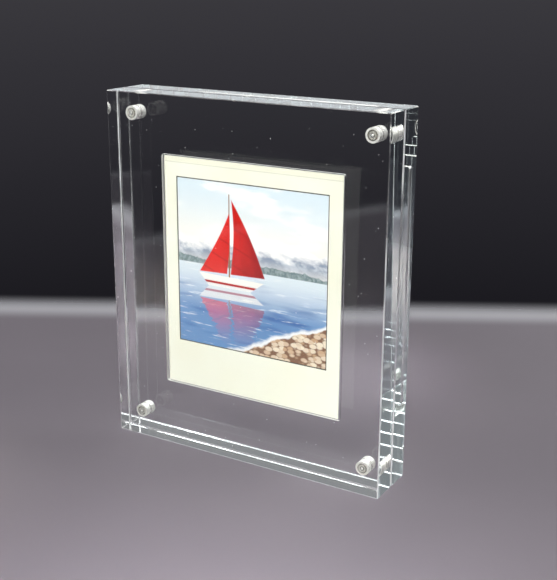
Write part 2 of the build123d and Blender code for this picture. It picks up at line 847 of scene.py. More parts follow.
@dataclass(frozen=True)
class BorderPaper:
    """The print's cream-white border: smooth coated paper with a fine tooth and a pressed fold line,
    darkened with painted shade.

    Lengths are in millimetres, apart from the depth of the tooth, which is in metres.
    """

    top_z: float
    colour: Colour = (0.90, 0.90, 0.755)
    warm_colour: Colour = (0.88, 0.87, 0.70)
    age: Grain = Grain(0.035)
    age_span: Span = (0.35, 0.75)
    # The colour of the painted shade along the fold's crease.
    painted_fold_shade: Colour = (0.60, 0.585, 0.47)
    fold_below_top: float = 2.0
    fold_width: float = 0.22
    fold_core: float = 0.3
    fold_share: float = 0.6
    fold_press: float = 1.5
    roughness: float = 0.42
    tooth: Grain = Grain(5.0, 4.0, 0.6)
    tooth_roughness: float = 0.16
    tooth_depth: float = 0.000012

    def material(self) -> bpy.types.Material:
        """Builds the material.

        Returns:
            The finished material.
        """
        graph = NodeGraph("print_border_dressed")
        x, y, z = graph.place()
        point = graph.vector(x, y, z)
        tooth = graph.noise(point, self.tooth)
        age = graph.noise(point, self.age).rise(*self.age_span)
        fold_z = self.top_z - self.fold_below_top
        fold = abs(z - fold_z).rise(self.fold_width, self.fold_width * self.fold_core)
        flap = z.rise(fold_z - self.fold_width, fold_z + self.fold_width)
        paper = graph.mix(age.either(flap), self.colour, self.warm_colour)
        return graph.finish(
            graph.shader(
                {
                    # Painted shade darkens the fold's crease, which the bump also presses in.
                    "Base Color": graph.mix(fold * self.fold_share, paper, self.painted_fold_shade),
                    "Roughness": tooth * self.tooth_roughness + self.roughness,
                    "Normal": graph.bump(tooth - fold * self.fold_press, self.tooth_depth),
                }
            )
        )


@dataclass(frozen=True)
class PrintBack:
    """The print's white card back, matt with short fibres and a few grey scuffs.

    The stretches are how much of a length along X and Z the noise sees.
    """

    colour: Colour = (0.84, 0.83, 0.80)
    fibre_colour: Colour = (0.74, 0.72, 0.68)
    fibre: Grain = Grain(3.2, 4.0, 0.65)
    fibre_stretch: float = 0.35
    fibre_span: Span = (0.45, 0.75)
    fibre_share: float = 0.6
    fibre_roughness: float = 0.2
    fibre_depth: float = 0.00002
    scuff_colour: Colour = (0.60, 0.59, 0.57)
    scuff: Grain = Grain(1.0, 4.0)
    scuff_stretch: Place = (0.9, 0.06)
    scuff_span: Span = (0.62, 0.80)
    scuff_share: float = 0.5
    roughness: float = 0.62

    def material(self) -> bpy.types.Material:
        """Builds the material.

        Returns:
            The finished material.
        """
        graph = NodeGraph("print_back_dressed")
        x, y, z = graph.place()
        fibre = graph.noise(graph.vector(x, y, z * self.fibre_stretch), self.fibre)
        across, along = self.scuff_stretch
        scuff = graph.noise(graph.vector(x * across, y, z * along), self.scuff).rise(*self.scuff_span)
        card = graph.mix(fibre.rise(*self.fibre_span) * self.fibre_share, self.colour, self.fibre_colour)
        return graph.finish(
            graph.shader(
                {
                    "Base Color": graph.mix(scuff * self.scuff_share, card, self.scuff_colour),
                    "Roughness": fibre * self.fibre_roughness + self.roughness,
                    "Normal": graph.bump(fibre, self.fibre_depth),
                }
            )
        )


@dataclass(frozen=True)
class PictureWindow:
    """The square that the print's border leaves open, in millimetres."""

    left: float
    bottom: float
    size: float

    @classmethod
    def from_frame(cls, border: bpy.types.Object) -> PictureWindow:
        """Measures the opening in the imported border.

        Args:
            border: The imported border.

        Returns:
            The opening, from the corners that lie inside the border's outline.
        """
        low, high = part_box(border.name)
        slack = 0.5 * MM
        inner = [
            vertex.co
            for vertex in border.data.vertices
            if low.x + slack < vertex.co.x < high.x - slack and low.z + slack < vertex.co.z < high.z - slack
        ]
        left = min(corner.x for corner in inner)
        right = max(corner.x for corner in inner)
        return cls(left / MM, min(corner.z for corner in inner) / MM, (right - left) / MM)


@dataclass(frozen=True)
class Sky:
    """The picture's pale sky with drifting clouds."""

    haze: Colour = tone(253, 247, 236)
    blue: Colour = tone(220, 234, 240)
    blue_span: Span = (0.55, 1.0)
    cloud: Colour = tone(255, 253, 248)
    cloud_span: Span = (0.46, 0.66)
    drift: Grain = Grain(2.0, 5.0, 0.55)
    drift_start: float = 4.0
    drift_stretch: Place = (1.3, 4.0)

    def paint(self, graph: NodeGraph, u: Signal, v: Signal) -> Signal:
        """Paints the sky.

        Args:
            graph: The material.
            u: The place on the picture, to the right, and v up.

        Returns:
            The picture with the sky alone.
        """
        across, up = self.drift_stretch
        drift = graph.noise(graph.vector(u * across + self.drift_start, v * up), self.drift)
        clear = graph.mix(v.rise(*self.blue_span), self.haze, self.blue)
        return graph.mix(drift.rise(*self.cloud_span), clear, self.cloud)


@dataclass(frozen=True)
class Hills:
    """A snowy range with wooded slopes in front of it."""

    rock: Colour = tone(176, 188, 202)
    crag: Colour = tone(138, 152, 172)
    rock_span: Span = (0.42, 0.60)
    snow: Colour = tone(252, 250, 246)
    snow_span: Span = (0.565, 0.645)
    mist: Colour = tone(253, 247, 236)
    mist_span: Span = (0.60, 0.50)
    mist_share: float = 0.55
    peaks: Grain = Grain(2.6, 7.0, 0.52)
    peaks_start: float = 7.3
    ridge_base: float = 0.42
    ridge_height: float = 0.52
    relief: Grain = Grain(9.0, 6.0, 0.62)
    relief_lean: float = 0.5
    relief_stretch: float = 1.4
    relief_height: float = 0.22
    wood: Colour = tone(150, 166, 166)
    wood_shade: Colour = tone(110, 130, 132)
    trees: Grain = Grain(42.0, 3.0, 0.7)
    tree_stretch: float = 0.6
    tree_height: float = 0.03
    tree_span: Span = (0.40, 0.62)
    slope: Grain = Grain(3.4, 4.0)
    slope_start: float = 2.1
    slope_base: float = 0.445
    slope_height: float = 0.16
    outline: Span = (-0.002, 0.004)

    def paint(self, graph: NodeGraph, u: Signal, v: Signal, under: Signal) -> Signal:
        """Paints the range and the slopes.

        Args:
            graph: The material.
            u: The place on the picture, to the right, and v up.
            under: What has been painted so far.

        Returns:
            The picture with the hills.
        """
        peaks = graph.noise(graph.vector(u + self.peaks_start), self.peaks)
        ridge = peaks * self.ridge_height + self.ridge_base
        relief = graph.noise(graph.vector(u + v * self.relief_lean, v * self.relief_stretch), self.relief)
        stone = graph.mix(relief.rise(*self.rock_span), self.crag, self.rock)
        height = v + (relief - 0.5) * self.relief_height
        mountain = graph.mix(height.rise(*self.snow_span), stone, self.snow)
        mountain = graph.mix(v.rise(*self.mist_span) * self.mist_share, mountain, self.mist)
        painted = graph.mix((ridge - v).rise(*self.outline), under, mountain)
        trees = graph.noise(graph.vector(u, v * self.tree_stretch), self.trees)
        slope = graph.noise(graph.vector(u + self.slope_start), self.slope) * self.slope_height
        slope = slope + trees * self.tree_height + self.slope_base
        forest = graph.mix(trees.rise(*self.tree_span), self.wood_shade, self.wood)
        return graph.mix((slope - v).rise(*self.outline), painted, forest)


@dataclass(frozen=True)
class SailingBoat:
    """A boat with a mast, two red sails and a white hull."""

    sail_light: Colour = tone(226, 40, 30)
    sail_dark: Colour = tone(150, 10, 14)
    main_sail: tuple[Place, ...] = ((0.372, 0.462), (0.60, 0.470), (0.372, 0.900))
    fore_sail: tuple[Place, ...] = ((0.160, 0.455), (0.348, 0.462), (0.348, 0.820))
    sail_soft: float = 0.003
    belly_foot: float = 0.50
    belly_turn: float = 7.5
    belly_depth: float = 0.016
    fold: Grain = Grain(9.0)
    fold_stretch: float = 0.45
    fold_share: float = 0.5
    shade_lean: Place = (1.6, 0.25)
    shade_span: Span = (0.45, 1.15)
    seam_lean: Place = (0.38, 0.92)
    seam_count: float = 10.0
    seam_span: Span = (0.93, 0.995)
    seam_share: float = 0.45
    mast: Colour = tone(150, 104, 66)
    mast_outline: tuple[Place, ...] = ((0.354, 0.43), (0.364, 0.43), (0.3625, 0.93), (0.3565, 0.93))
    mast_soft: float = 0.0015
    hull: Colour = tone(250, 246, 238)
    hull_outline: tuple[Place, ...] = ((0.215, 0.375), (0.500, 0.375), (0.590, 0.440), (0.150, 0.448))
    hull_soft: float = 0.003
    hull_shade: Colour = tone(220, 231, 236)
    hull_span: Span = (0.43, 0.38)
    hull_share: float = 0.45
    stripe: Colour = tone(176, 22, 24)
    stripe_outline: tuple[Place, ...] = ((0.10, 0.395), (0.66, 0.391), (0.66, 0.405), (0.10, 0.409))
    stripe_soft: float = 0.002

    def cloth(self, graph: NodeGraph, u: Signal, v: Signal) -> Signal:
        """Shades the sailcloth with its folds and seams.

        Args:
            graph: The material.
            u: The place on the picture, to the right, and v up.

        Returns:
            The cloth's colour.
        """
        fold = graph.noise(graph.vector(u, v * self.fold_stretch), self.fold)
        across, up = self.shade_lean
        shade = (u * across - v * up + fold * self.fold_share).rise(*self.shade_span)
        across, up = self.seam_lean
        seams = ((v * up + u * across) * (2 * math.pi * self.seam_count)).wave().rise(*self.seam_span)
        plain = graph.mix(shade, self.sail_light, self.sail_dark)
        return graph.mix(seams * self.seam_share, plain, self.sail_dark)

    def paint(self, graph: NodeGraph, u: Signal, v: Signal, under: Signal) -> Signal:
        """Paints the boat.

        Args:
            graph: The material.
            u: The place on the picture, to the right, and v up.
            under: What has been painted so far.

        Returns:
            The picture with the boat.
        """
        painted = graph.mix(graph.patch(u, v, self.mast_outline, self.mast_soft), under, self.mast)
        belly = ((v - self.belly_foot) * self.belly_turn).wave() * self.belly_depth
        cloth = self.cloth(graph, u, v)
        for sail in (self.main_sail, self.fore_sail):
            painted = graph.mix(graph.patch(u - belly, v, sail, self.sail_soft), painted, cloth)
        boards = graph.mix(v.rise(*self.hull_span) * self.hull_share, self.hull, self.hull_shade)
        boards = graph.mix(graph.patch(u, v, self.stripe_outline, self.stripe_soft), boards, self.stripe)
        return graph.mix(graph.patch(u, v, self.hull_outline, self.hull_soft), painted, boards)


@dataclass(frozen=True)
class Lake:
    """Rippled water with the boat's broken reflection."""

    far: Colour = tone(220, 231, 236)
    near: Colour = tone(98, 142, 190)
    near_span: Span = (0.0, 0.30)
    water_line: float = 0.50
    shore_span: Span = (-0.001, 0.002)
    swell: Grain = Grain(1.0)
    swell_colour: Colour = tone(62, 104, 164)
    swell_stretch: Place = (2.0, 13.0)
    swell_span: Span = (0.50, 0.72)
    swell_reach: Span = (0.02, 0.2)
    ripple: Grain = Grain(1.0, 3.0, 0.6)
    ripple_colour: Colour = tone(236, 242, 243)
    ripple_stretch: Place = (5.0, 44.0)
    ripple_span: Span = (0.56, 0.70)
    ripple_share: float = 0.75
    keel_line: float = 0.375
    break_width: float = 0.16
    break_span: Span = (0.1, 0.4)
    image_span: Span = (0.50, 0.16)
    image_share: float = 0.62

    def paint(self, graph: NodeGraph, u: Signal, v: Signal, under: Signal, boat: SailingBoat) -> Signal:
        """Paints the water.

        Args:
            graph: The material.
            u: The place on the picture, to the right, and v up.
            under: What has been painted so far.
            boat: What the water reflects.

        Returns:
            The picture with the lake.
        """
        depth = self.water_line - v
        across, up = self.ripple_stretch
        ripple = graph.noise(graph.vector(u * across, v * up), self.ripple)
        across, up = self.swell_stretch
        swell = graph.noise(graph.vector(u * across, v * up), self.swell).rise(*self.swell_span)
        water = graph.mix(depth.rise(*self.near_span), self.far, self.near)
        water = graph.mix(swell * depth.rise(*self.swell_reach), water, self.swell_colour)
        water = graph.mix(ripple.rise(*self.ripple_span) * self.ripple_share, water, self.ripple_colour)
        broken = u + (ripple - 0.5) * self.break_width * depth.rise(*self.break_span)
        image = boat.paint(graph, broken, self.keel_line * 2.0 - v, water)
        water = graph.mix(depth.rise(*self.image_span) * self.image_share, water, image)
        return graph.mix(depth.rise(*self.shore_span), under, water)


@dataclass(frozen=True)
class PebbleShore:
    """A pebble beach in the near corner, with a line of foam."""

    pebble_light: Colour = tone(242, 230, 206)
    pebble_dark: Colour = tone(194, 154, 116)
    pebble_scale: float = 25.0
    pebble_stretch: float = 1.7
    gap: Colour = tone(128, 94, 70)
    gap_span: Span = (0.46, 0.74)
    bank_start: float = 0.17
    bank_slope: float = 0.42
    bank_span: Span = (-0.004, 0.006)
    wash: Grain = Grain(5.0, 3.0)
    wash_width: float = 0.13
    foam: Colour = tone(255, 253, 248)
    foam_span: Span = (-0.035, -0.008)
    foam_share: float = 0.85

    def paint(self, graph: NodeGraph, u: Signal, v: Signal, under: Signal) -> Signal:
        """Paints the beach.

        Args:
            graph: The material.
            u: The place on the picture, to the right, and v up.
            under: What has been painted so far.

        Returns:
            The picture with the beach.
        """
        wash = (graph.noise(graph.vector(u, v), self.wash) - 0.5) * self.wash_width
        bank = u * self.bank_slope + wash - v - self.bank_start
        distance, shade = graph.cells(graph.vector(u, v * self.pebble_stretch), self.pebble_scale)
        stone = graph.mix(shade, self.pebble_dark, self.pebble_light)
        stone = graph.mix(distance.rise(*self.gap_span), stone, self.gap)
        foam = graph.mix(bank.rise(*self.foam_span) * self.foam_share, under, self.foam)
        return graph.mix(bank.rise(*self.bank_span), foam, stone)


@dataclass(frozen=True)
class HolidayPicture:
    """A glossy holiday print: a red sailing boat on a blue lake below snowy hills.

    Its layers are laid out on a square from 0 to 1, with the first number of a place to the right and
    the second one up. The line round it is in millimetres, and the depth of its grain is in metres.
    """

    window: PictureWindow
    sky: Sky = Sky()
    hills: Hills = Hills()
    boat: SailingBoat = SailingBoat()
    lake: Lake = Lake()
    shore: PebbleShore = PebbleShore()
    line_width: float = 0.42
    line_fade: float = 0.1
    line_colour: Colour = (0.07, 0.07, 0.05)
    roughness: float = 0.16
    grain: Grain = Grain(6.0)
    grain_roughness: float = 0.08
    grain_depth: float = 0.000004

    def material(self) -> bpy.types.Material:
        """Builds the material, with a thin dark line round the picture.

        Returns:
            The finished material.
        """
        graph = NodeGraph("picture_dressed")
        x, y, z = graph.place()
        u = (x - self.window.left) / self.window.size
        v = (z - self.window.bottom) / self.window.size
        painted = self.hills.paint(graph, u, v, self.sky.paint(graph, u, v))
        painted = self.lake.paint(graph, u, v, painted, self.boat)
        painted = self.boat.paint(graph, u, v, painted)
        painted = self.shore.paint(graph, u, v, painted)
        inset = self.line_width / self.window.size
        edge = abs(u - 0.5).either(abs(v - 0.5))
        line = edge.rise(0.5 - inset * (1.0 + self.line_fade), 0.5 - inset * (1.0 - self.line_fade))
        grain = graph.noise(graph.vector(x, y, z), self.grain)
        return graph.finish(
            graph.shader(
                {
                    "Base Color": graph.mix(line, painted, self.line_colour),
                    "Roughness": grain * self.grain_roughness + self.roughness,
                    "Normal": graph.bump(grain, self.grain_depth),
                }
            )
        )


@dataclass(frozen=True)
class Tabletop:
    """The plain pale table that the frame stands on, turned a little, soft at its rims and lighter along
    them with a painted sheen.

    Lengths are in metres, and the turn is in degrees from the frame's own axes.
    """

    turn: float = 28.9
    half_width: float = 0.335
    near_reach: float = 0.50
    far_reach: float = 0.189
    thickness: float = 0.003
    drop: float = 0.0002
    rim_fade: float = 0.030
    # How far in from the rims the painted sheen is full, and where it has faded out.
    painted_sheen_core: float = 0.022
    painted_sheen_reach: float = 0.043
    colour: Colour = (0.154, 0.136, 0.155)
    mottle_colour: Colour = (0.141, 0.125, 0.142)
    mottle: Grain = Grain(0.02, 3.0)
    # The colour of the painted sheen along the rims.
    painted_sheen_colour: Colour = (0.35, 0.346, 0.368)
    gloss: float = 0.15
    roughness: float = 0.6
    tooth: Grain = Grain(2.2, 3.0)
    tooth_roughness: float = 0.1
    tooth_depth: float = 0.00002

    def material(self) -> bpy.types.Material:
        """Builds the material, which thins out towards the rims and carries a painted sheen along them.

        Returns:
            The finished material.
        """
        graph = NodeGraph("tabletop")
        x, y, z = graph.place()
        point = graph.vector(x, y, z)
        turn = math.radians(self.turn)
        across = x * math.cos(turn) + y * math.sin(turn)
        away = y * math.cos(turn) - x * math.sin(turn)
        rim = (self.far_reach / MM - away).both(away + self.near_reach / MM)
        rim = rim.both(self.half_width / MM - abs(across))
        # A painted sheen lightens the top along its rims.
        glow = rim.rise(self.painted_sheen_reach / MM, self.painted_sheen_core / MM)
        top = graph.mix(graph.noise(point, self.mottle), self.colour, self.mottle_colour)
        tooth = graph.noise(point, self.tooth)
        return graph.finish(
            graph.shader(
                {
                    "Base Color": graph.mix(glow, top, self.painted_sheen_colour),
                    "Roughness": tooth * self.tooth_roughness + self.roughness,
                    "Specular IOR Level": self.gloss,
                    "Alpha": rim.rise(0.0, self.rim_fade / MM),
                    "Normal": graph.bump(tooth, self.tooth_depth),
                }
            )
        )

    def build(self) -> bpy.types.Object:
        """Makes the tabletop, a hair's breadth under the frame so that no faces coincide.

        Returns:
            The tabletop.
        """
        mesh = bpy.data.meshes.new("tabletop")
        levels = (-self.drop - self.thickness, -self.drop)
        rectangle = [
            (-self.half_width, -self.near_reach),
            (self.half_width, -self.near_reach),
            (self.half_width, self.far_reach),
            (-self.half_width, self.far_reach),
        ]
        points = [(x, y, z) for z in levels for x, y in rectangle]
        sides = [(k, (k + 1) % 4, (k + 1) % 4 + 4, k + 4) for k in range(4)]
        mesh.from_pydata(points, [], [(3, 2, 1, 0), (4, 5, 6, 7), *sides])
        mesh.transform(Matrix.Rotation(math.radians(self.turn), 4, "Z"))
        mesh.materials.append(self.material())
        table = bpy.data.objects.new("tabletop", mesh)
        bpy.context.scene.collection.objects.link(table)
        return table


class ShapeGraph:
    """Adds and links the nodes of one Geometry Nodes tree."""

    def __init__(self, name: str) -> None:
        """Starts an empty tree with a geometry output.

        Args:
            name: The tree's name.
        """
        self.tree = bpy.data.node_groups.new(name, "GeometryNodeTree")
        self.tree.interface.new_socket("Geometry", in_out="OUTPUT", socket_type="NodeSocketGeometry")
        self.inlet = self.tree.nodes.new("NodeGroupInput")
        self.outlet = self.tree.nodes.new("NodeGroupOutput")
        self.identifiers: dict[str, str] = {}

    def entry(self, name: str, kind: str = "NodeSocketFloat") -> bpy.types.NodeSocket:
        """Adds a named input.

        Args:
            name: What the input is called.
            kind: The socket's type.

        Returns:
            The socket that carries it.
        """
        item = self.tree.interface.new_socket(name, in_out="INPUT", socket_type=kind)
        self.identifiers[name] = item.identifier
        return self.inlet.outputs[name]

    def node(self, kind: str, inputs: dict[Union[str, int], object], **settings: object) -> bpy.types.Node:
        """Adds a node.

        Args:
            kind: The node's type name.
            inputs: What goes into its sockets, by name or number: a socket to link or a plain value.
            settings: The node's own properties.

        Returns:
            The new node.
        """
        made = self.tree.nodes.new(kind)
        for key, value in settings.items():
            setattr(made, key, value)
        for key, value in inputs.items():
            if isinstance(value, bpy.types.NodeSocket):
                self.tree.links.new(value, made.inputs[key])
            else:
                made.inputs[key].default_value = value
        return made

    def math(self, operation: str, first: object, second: object = 0.0) -> bpy.types.NodeSocket:
        """Adds a Math node and returns its output."""
        return self.node("ShaderNodeMath", {0: first, 1: second}, operation=operation).outputs[0]

    def vector(self, x: object, y: object, z: object) -> bpy.types.NodeSocket:
        """Joins three numbers into a vector."""
        return self.node("ShaderNodeCombineXYZ", {0: x, 1: y, 2: z}).outputs[0]

    def profile(
        self, points: list[tuple[object, object]], rounding: object, steps: int
    ) -> bpy.types.NodeSocket:
        """Makes a rounded open outline in the XY plane, with X as the radius and Y as the depth.

        Args:
            points: The radius and depth of each corner, from the axis out and back to it.
            rounding: The radius that rounds the corners.
            steps: How many short runs make one rounded corner.

        Returns:
            The outline as a curve.
        """
        index = self.node("GeometryNodeInputIndex", {}).outputs[0]
        choose = self.tree.nodes.new("GeometryNodeIndexSwitch")
        choose.data_type = "VECTOR"
        while len(choose.index_switch_items) < len(points):
            choose.index_switch_items.new()
        self.tree.links.new(index, choose.inputs["Index"])
        for number, (radius, depth) in enumerate(points):
            self.tree.links.new(self.vector(radius, depth, 0.0), choose.inputs[number + 1])
        line = self.node("GeometryNodeMeshLine", {"Count": len(points)})
        bent = self.node("GeometryNodeSetPosition", {0: line.outputs[0], "Position": choose.outputs[0]})
        curve = self.node("GeometryNodeMeshToCurve", {0: bent.outputs[0]})
        sockets = {"Curve": curve.outputs[0], "Count": steps, "Radius": rounding, "Limit Radius": True}
        return self.node("GeometryNodeFilletCurve", sockets, mode="POLY").outputs[0]

    def turned(self, outline: bpy.types.NodeSocket, segments: int) -> bpy.types.NodeSocket:
        """Turns an outline round the Y axis into a closed surface.

        Args:
            outline: The outline as a curve.
            segments: How many flats go round.

        Returns:
            The surface, with its seam and poles merged.
        """
        size = self.node("GeometryNodeAttributeDomainSize", {0: outline}, component="CURVE")
        count = size.outputs["Point Count"]
        grid = self.node("GeometryNodeMeshGrid", {"Vertices X": segments + 1, "Vertices Y": count})
        index = self.node("GeometryNodeInputIndex", {}).outputs[0]
        step = self.math("MODULO", index, count)
        flat = self.math("FLOOR", self.math("DIVIDE", index, count))
        angle = self.math("MULTIPLY", flat, 2 * math.pi / segments)
        position = self.node("GeometryNodeInputPosition", {}).outputs[0]
        sockets = {0: outline, "Value": position, "Index": step}
        sample = self.node("GeometryNodeSampleIndex", sockets, data_type="FLOAT_VECTOR", domain="POINT")
        parts = self.node("ShaderNodeSeparateXYZ", {0: sample.outputs[0]})
        x = self.math("MULTIPLY", parts.outputs[0], self.math("COSINE", angle))
        z = self.math("MULTIPLY", parts.outputs[0], self.math("SINE", angle))
        where = self.vector(x, parts.outputs[1], z)
        shape = self.node("GeometryNodeSetPosition", {0: grid.outputs[0], "Position": where})
        sockets = {0: shape.outputs[0], "Distance": MERGE_REACH}
        return self.node("GeometryNodeMergeByDistance", sockets).outputs[0]

    def end(self, shape: bpy.types.NodeSocket, material: bpy.types.NodeSocket) -> None:
        """Realizes the instances, smooths all but the flat ends and sets the material.

        Args:
            shape: The instanced shape.
            material: The socket that carries the material.
        """
        real = self.node("GeometryNodeRealizeInstances", {0: shape})
        normal = self.node("GeometryNodeInputNormal", {}).outputs[0]
        facing = self.math("ABSOLUTE", self.node("ShaderNodeSeparateXYZ", {0: normal}).outputs[1])
        curved = self.node("FunctionNodeCompare", {0: facing, 1: FLAT_FACING}, operation="LESS_THAN")
        sockets = {0: real.outputs[0], "Shade Smooth": curved.outputs[0]}
        smooth = self.node("GeometryNodeSetShadeSmooth", sockets)
        done = self.node("GeometryNodeSetMaterial", {0: smooth.outputs[0], "Material": material})
        self.tree.links.new(done.outputs[0], self.outlet.inputs[0])


def realized(name: str, shape: ShapeGraph, values: dict[str, object]) -> bpy.types.Object:
    """Runs a Geometry Nodes tree and keeps its result as a plain mesh at the origin.

    Args:
        name: The piece's name.
        shape: The tree.
        values: What its named inputs are set to.

    Returns:
        The finished piece.
    """
    piece = bpy.data.objects.new(name, bpy.data.meshes.new(name + "_seed"))
    bpy.context.scene.collection.objects.link(piece)
    modifier = piece.modifiers.new("build", "NODES")
    modifier.node_group = shape.tree
    for key, value in values.items():
        modifier[shape.identifiers[key]] = value
    graph = bpy.context.evaluated_depsgraph_get()
    result = piece.evaluated_get(graph)
    mesh = bpy.data.meshes.new_from_object(result, preserve_all_data_layers=True, depsgraph=graph)
    piece.modifiers.remove(modifier)
    piece.data = mesh
    mesh.name = name
    return piece


@dataclass
class CornerPieces:
    """What sits in the corner holes of each block: the magnets and the adhesive behind them.

    Lengths are in millimetres.
    """

    holes: HolePlaces
    magnet_finish: NickelPlate
    glue_finish: ClearGlue
    rim_round: float = 0.4
    rim_steps: int = 6
    segments: int = 72
    glue_gap: float = 0.03
    glue_depth: float = 0.2
    dimple_radius: float = 0.8
    dimple_depth: float = 0.5
    glue_round: float = 0.04

    def at_corners(self, shape: ShapeGraph, piece: bpy.types.NodeSocket) -> bpy.types.NodeSocket:
        """Puts one shape at each of the four corners.

        Args:
            shape: The tree.
            piece: The shape of one piece, lying along Y from the joint.

        Returns:
            The four instances.
        """
        sockets = {"Points": self.corner_points(shape), "Instance": piece}
        return shape.node("GeometryNodeInstanceOnPoints", sockets).outputs[0]

    def corner_points(self, shape: ShapeGraph) -> bpy.types.NodeSocket:
        """Makes the four corner points from the named inputs for their spread and height.

        Args:
            shape: The tree.

        Returns:
            The points.
        """
        wide = shape.math("MULTIPLY", shape.entry("Spread X"), 2.0)
        tall = shape.math("MULTIPLY", shape.entry("Spread Z"), 2.0)
        sockets = {"Size X": wide, "Size Y": tall, "Vertices X": 2, "Vertices Y": 2}
        grid = shape.node("GeometryNodeMeshGrid", sockets)
        height = shape.vector(0.0, 0.0, shape.entry("Middle Z"))
        sockets = {0: grid.outputs[0], "Translation": height, "Rotation": (math.pi / 2, 0.0, 0.0)}
        return shape.node("GeometryNodeTransform", sockets).outputs[0]

    def magnet_tree(self) -> ShapeGraph:
        """Makes the tree of four disc magnets with rounded rims.

        Returns:
            The tree.
        """
        shape = ShapeGraph("corner_magnets")
        radius = shape.entry("Radius")
        depth = shape.math("MULTIPLY", shape.entry("Length"), shape.entry("Into Block"))
        half_section = [(0.0, 0.0), (radius, 0.0), (radius, depth), (0.0, depth)]
        outline = shape.profile(half_section, shape.entry("Rim Round"), self.rim_steps)
        corners = self.at_corners(shape, shape.turned(outline, self.segments))
        shape.end(corners, shape.entry("Material", "NodeSocketMaterial"))
        return shape

    def glue_tree(self) -> ShapeGraph:
        """Makes the tree of four adhesive films, each with the nub that fills the drill's dimple.

        Returns:
            The tree.
        """
        shape = ShapeGraph("corner_glue")
        radius = shape.entry("Radius")
        into = shape.entry("Into Block")
        near = shape.math("MULTIPLY", shape.entry("Near"), into)
        far = shape.math("MULTIPLY", shape.entry("Far"), into)
        tip = shape.math("MULTIPLY", shape.entry("Tip"), into)
        nub = shape.entry("Nub Radius")
        half_section = [(0.0, near), (radius, near), (radius, far), (nub, far), (0.0, tip)]
        outline = shape.profile(half_section, shape.entry("Round"), self.rim_steps)
        corners = self.at_corners(shape, shape.turned(outline, self.segments))
        shape.end(corners, shape.entry("Material", "NodeSocketMaterial"))
        return shape

    def places(self, side: Side) -> dict[str, float]:
        """Says where the corner pieces of one block are.

        Args:
            side: The block.

        Returns:
            The trees' inputs for it, in metres.
        """
        return {
            "Spread X": self.holes.spread_x * MM,
            "Spread Z": self.holes.spread_z * MM,
            "Middle Z": self.holes.middle_z * MM,
            "Into Block": side.into_block,
        }

    def build(self) -> list[bpy.types.Object]:
        """Makes the magnets and the adhesive of both blocks.

        Returns:
            The pieces, each on its body.
        """
        magnets = self.magnet_tree()
        glue = self.glue_tree()
        magnet_look = self.magnet_finish.material()
        glue_look = self.glue_finish.material()
        made = []
        for side in Side:
            sizes = {
                "Radius": self.holes.radius * MM,
                "Length": self.holes.length * MM,
                "Rim Round": self.rim_round * MM,
                "Material": magnet_look,
            }
            piece = realized(f"{side.value}_magnets", magnets, self.places(side) | sizes)
            made.append(self.settle(piece, side, "magnet"))
            near = self.holes.length + self.glue_gap
            far = self.holes.length + self.glue_depth - self.glue_gap
            sizes = {
                "Radius": (self.holes.radius - self.glue_gap) * MM,
                "Near": near * MM,
                "Far": far * MM,
                "Tip": (far + self.dimple_depth - self.glue_gap) * MM,
                "Nub Radius": (self.dimple_radius - self.glue_gap) * MM,
                "Round": self.glue_round * MM,
                "Material": glue_look,
            }
            piece = realized(f"{side.value}_glue_dabs", glue, self.places(side) | sizes)
            made.append(self.settle(piece, side, "glue"))
        return made

    def settle(self, piece: bpy.types.Object, side: Side, kind: str) -> bpy.types.Object:
        """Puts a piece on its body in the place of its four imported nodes.

        Args:
            piece: The modelled piece.
            side: The block that it belongs to.
            kind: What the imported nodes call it.

        Returns:
            The same piece.
        """
        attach(piece, side.value)
        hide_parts(*[f"{side.value}_{kind}_{corner.value}" for corner in Corner])
        return piece


def dress(node: bpy.types.Object, look: bpy.types.Material) -> None:
    """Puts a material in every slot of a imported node."""
    for slot in node.material_slots:
        slot.material = look


@dataclass
class AcrylicBlocks:
    """The two clear blocks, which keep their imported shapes."""

    finish: ClearAcrylic

    def build(self, nodes: dict[str, bpy.types.Object]) -> None:
        """Dresses both blocks.

        Args:
            nodes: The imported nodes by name.
        """
        look = self.finish.material()
        for side in Side:
            dress(nodes[f"{side.value}_block"], look)


@dataclass
class InstantPrint:
    """The laminated print in the pocket: rear sheet, picture sheet and border.

    Lengths are in millimetres.
    """

    back: PrintBack
    picture: HolidayPicture
    border: BorderPaper
    air_behind: float = 0.05
    rim_round: float = 0.06
    rim_steps: int = 3

    def card(self) -> bpy.types.Object:
        """Makes the rear sheet with soft rims, lying loose in the pocket with a little air behind it.

        Returns:
            The sheet, on the print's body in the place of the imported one.
        """
        low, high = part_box("print_backing")
        high.y -= self.air_behind * MM
        shape = bmesh.new()
        bmesh.ops.create_cube(shape, size=1.0)
        bmesh.ops.scale(shape, vec=high - low, verts=shape.verts)
        bmesh.ops.translate(shape, vec=(high + low) / 2, verts=shape.verts)
        bmesh.ops.bevel(
            shape,
            geom=shape.edges[:],
            offset=self.rim_round * MM,
            segments=self.rim_steps,
            profile=0.5,
            affect="EDGES",
        )
        mesh = bpy.data.meshes.new("print_card")
        shape.to_mesh(mesh)
        shape.free()
        mesh.materials.append(self.back.material())
        sheet = bpy.data.objects.new("print_card", mesh)
        bpy.context.scene.collection.objects.link(sheet)
        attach(sheet, "print")
        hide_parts("print_backing")
        return sheet

    def build(self, nodes: dict[str, bpy.types.Object]) -> bpy.types.Object:
        """Dresses the print's packed sheets and makes its card.

        Args:
            nodes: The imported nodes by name.

        Returns:
            The card.
        """
        dress(nodes["print_picture"], self.picture.material())
        dress(nodes["print_border"], self.border.material())
        return self.card()


